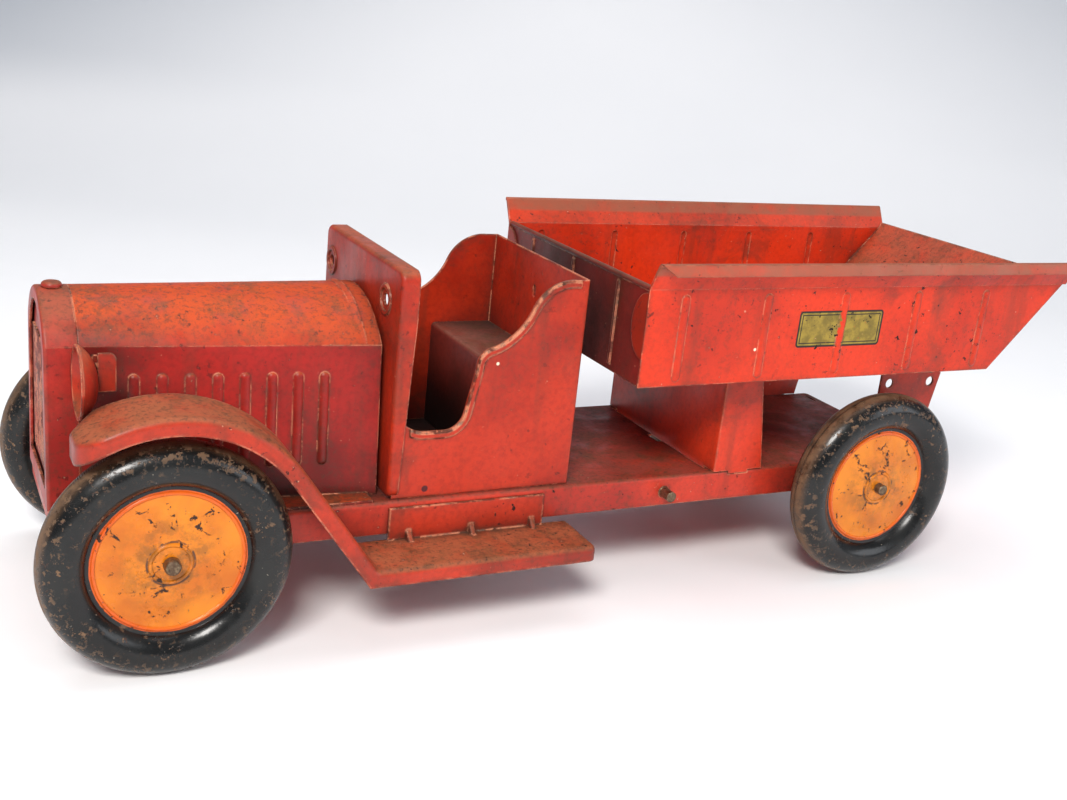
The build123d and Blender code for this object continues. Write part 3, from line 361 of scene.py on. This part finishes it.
def old_steel(name, base, tarnish):
    """Bare steel rod and nuts gone brown."""
    g = Graph(name)
    patches = g.noise(0.0030, 5.0, 0.7)
    colour = g.mix(g.step(patches, 0.40, 0.62), base, tarnish)
    colour = g.mix(g.times(g.step(g.noise(0.0011, 3.0), 0.60, 0.70), 0.7), colour, DARK)
    g.link(g.step(patches, 0.62, 0.42, 0.35, 0.95), g.shader.inputs["Metallic"])
    rough = g.step(patches, 0.35, 0.65, 0.30, 0.62)
    g.dress(colour, rough, g.bump(patches, 0.12 * MM, g.rounded(0.4 * MM)))
    return g.material


WHITE_DOT = linear(232, 218, 190)
cab_dots = ((57.1, 106.3, 0.8, WHITE_DOT), (84.7, 54.4, 1.6, linear(84, 24, 26)))
bed_dots = ((-53.7, 114.6, 0.8, WHITE_DOT),)
red = enamel("red_enamel_worn", linear(192, 50, 22), linear(146, 30, 16), linear(164, 84, 50),
             dust=0.75, grime_and_shade=0.85, reach=0.025, spots=cab_dots, shade_cab_hollow=True)
seat_red = enamel("seat_enamel_worn", linear(126, 48, 40), linear(84, 34, 30), linear(122, 74, 60),
                  dust=0.8, grime_and_shade=1.0, reach=0.05, shade_cab_hollow=True)
hood_red = enamel("hood_enamel_worn", linear(172, 30, 22), linear(112, 22, 18), linear(192, 72, 22),
                  dust=0.95, grime_and_shade=1.0, reach=0.03)
radiator_red = enamel("radiator_enamel_worn", linear(190, 50, 38), linear(140, 34, 30),
                      linear(150, 76, 48), dust=0.8, grime_and_shade=0.9, reach=0.006)
bed_red = enamel("bed_enamel_worn", linear(218, 54, 16), linear(186, 42, 16), linear(160, 84, 56),
                 dust=0.85, grime_and_shade=0.8, chips=1.0, hem=147.0 * MM, label=plate_label, spots=bed_dots)
# the bed's front wall gets a much darker red than the bed: painted shade of the cab's shadow on it
front_wall_shaded_red = enamel("front_wall_enamel_painted_shade", linear(126, 34, 28), linear(84, 24, 22),
                        linear(110, 58, 44), dust=0.8, grime_and_shade=1.0, chips=1.0, reach=0.03)
pedestal_red = enamel("pedestal_enamel_worn", linear(212, 58, 28), linear(176, 42, 22),
                      linear(160, 84, 58), dust=0.7, grime_and_shade=0.75, wear=0.9)
deck_red = enamel("deck_enamel_worn", linear(200, 56, 34), linear(160, 40, 28), linear(138, 64, 50),
                  dust=0.9, grime_and_shade=1.0, chips=1.0, reach=0.016, shade_cab_hollow=True)
fender_red = enamel("fender_enamel_worn", linear(192, 54, 30), linear(140, 40, 24),
                    linear(156, 82, 50), dust=1.0, grime_and_shade=0.85, chips=1.0, bend=0.0014)
front_wheel = wheel_paint("front_wheel_enamel", FRONT_AXLE_X)
rear_wheel = wheel_paint("rear_wheel_enamel", REAR_AXLE_X)
steel = old_steel("browned_steel", linear(140, 122, 98), linear(84, 62, 44))

# materials by how a piece's name starts, with plain red for the rest and steel for rods and nuts
by_name = {
    "hood": hood_red,
    "radiator": radiator_red,
    "bed_body": bed_red,
    "bed_front_wall": front_wall_shaded_red,
    "bed_pedestal": pedestal_red,
    "rear_bracket": pedestal_red,
    "bed_hinge_strap": bed_red,
    "chassis_frame": deck_red,
    "fender": fender_red,
    "wheel_front": front_wheel,
    "wheel_rear": rear_wheel,
    "cab_seat": seat_red,
}
steel_words = ("_hub", "axle", "nut", "rod", "lift")
for name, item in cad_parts.items():
    material = red
    for key, choice in by_name.items():
        if name.startswith(key):
            material = choice
    if any(word in name for word in steel_words):
        material = steel
    item.data.materials.clear()
    item.data.materials.append(material)

# ---------------------------------------------------------------- floor, light and camera


def paper(name, near, far, across):
    """Pale paper with painted shade, greyer higher up and towards its upper corners."""
    g = Graph(name)
    sideways = g.math("ADD", g.times(g.x, across.x), g.times(g.y, across.y))
    reach = g.math("ADD", g.math("ABSOLUTE", sideways), g.times(sideways, 0.25))
    # painted shade of the light falling off with height and to the sides
    shade = g.math("ADD", g.times(g.z, 1.6), g.times(reach, g.step(g.z, 0.0, 0.12, 0.10, 0.75)))
    colour = g.mix(g.step(shade, 0.30, 1.6), near, far)
    colour = g.mix(g.times(g.step(g.noise(0.5, 3.0), 0.3, 0.7), 0.04), colour, far)
    rough = g.step(g.noise(0.02, 3.0), 0.3, 0.7, 0.6, 0.75)
    g.dress(colour, rough, g.bump(g.noise(0.002, 3.0), 0.02 * MM))
    return g.material


SENSOR_WIDTH = 36.0
FOCAL_LENGTH = 1260.2  # in picture elements of an image IMAGE_WIDTH wide
IMAGE_WIDTH = 1067

eye = Vector((0.2749, 0.4806, 0.2499))
right = Vector((-0.8900, 0.4444, 0.1020)).normalized()
forward = Vector((-0.4531, -0.8368, -0.3075))
forward = (forward - right * forward.dot(right)).normalized()
up = right.cross(forward)
camera_data = bpy.data.cameras.new("camera")
camera_data.sensor_width = SENSOR_WIDTH
camera_data.lens = FOCAL_LENGTH / IMAGE_WIDTH * SENSOR_WIDTH
camera_data.clip_start = 0.01
camera = bpy.data.objects.new("camera", camera_data)
camera.matrix_world = Matrix((
    (right.x, up.x, -forward.x, eye.x),
    (right.y, up.y, -forward.y, eye.y),
    (right.z, up.z, -forward.z, eye.z),
    (0, 0, 0, 1),
))
bpy.context.scene.collection.objects.link(camera)
bpy.context.scene.camera = camera

# a sweep of pale paper: floor, a wide bend, and an upright far behind the truck
away = Vector((forward.x, forward.y, 0)).normalized()
across = Vector((-away.y, away.x, 0))
floor_front, floor_back = -3.0, 0.7
bend_radius, bend_steps = 0.9, 12
paper_top, paper_half_width = 3.0, 4.0
profile = [(floor_front, 0.0), (floor_back, 0.0)]
for index in range(1, bend_steps + 1):
    angle = radians(90 * index / bend_steps)
    profile.append((floor_back + bend_radius * sin(angle), bend_radius - bend_radius * cos(angle)))
profile.append((floor_back + bend_radius, paper_top))
vertices = []
for distance, height in profile:
    for side in (-paper_half_width, paper_half_width):
        vertices.append(away * distance + across * side + Vector((0, 0, height)))
faces = [(2 * i, 2 * i + 1, 2 * i + 3, 2 * i + 2) for i in range(len(profile) - 1)]
sweep_mesh = bpy.data.meshes.new("paper_sweep")
sweep_mesh.from_pydata(vertices, [], faces)
for polygon in sweep_mesh.polygons:
    polygon.use_smooth = True
sweep_mesh.materials.append(paper("pale_paper", linear(250, 250, 251), linear(150, 160, 172), across))
sweep = bpy.data.objects.new("paper_sweep", sweep_mesh)
bpy.context.scene.collection.objects.link(sweep)


def softbox(name, place, target, size, power, colour):
    """Rectangular area light at place, turned towards target."""
    data = bpy.data.lights.new(name, "AREA")
    data.shape = "RECTANGLE"
    data.size, data.size_y = size
    data.energy = power
    data.color = colour
    lamp = bpy.data.objects.new(name, data)
    lamp.location = place
    lamp.rotation_euler = (Vector(target) - Vector(place)).to_track_quat("-Z", "Y").to_euler()
    bpy.context.scene.collection.objects.link(lamp)


softbox("key", (0.70, 0.95, 1.10), (0, 0, 0.08), (0.5, 0.4), 23.0, (1.0, 0.96, 0.92))
softbox("fill", (-1.1, 1.1, 0.6), (0.0, 0, 0.08), (0.8, 0.8), 6.0, (0.92, 0.95, 1.0))
softbox("top", (-0.1, -0.25, 1.5), (0, 0, 0.1), (1.6, 1.2), 12.0, (1.0, 1.0, 1.0))

world = bpy.data.worlds.new("studio")
world.use_nodes = True
background = world.node_tree.nodes["Background"]
background.inputs["Color"].default_value = (0.86, 0.90, 1.0, 1)
background.inputs["Strength"].default_value = 0.34
bpy.context.scene.world = world
bpy.context.scene.view_settings.view_transform = "Standard"
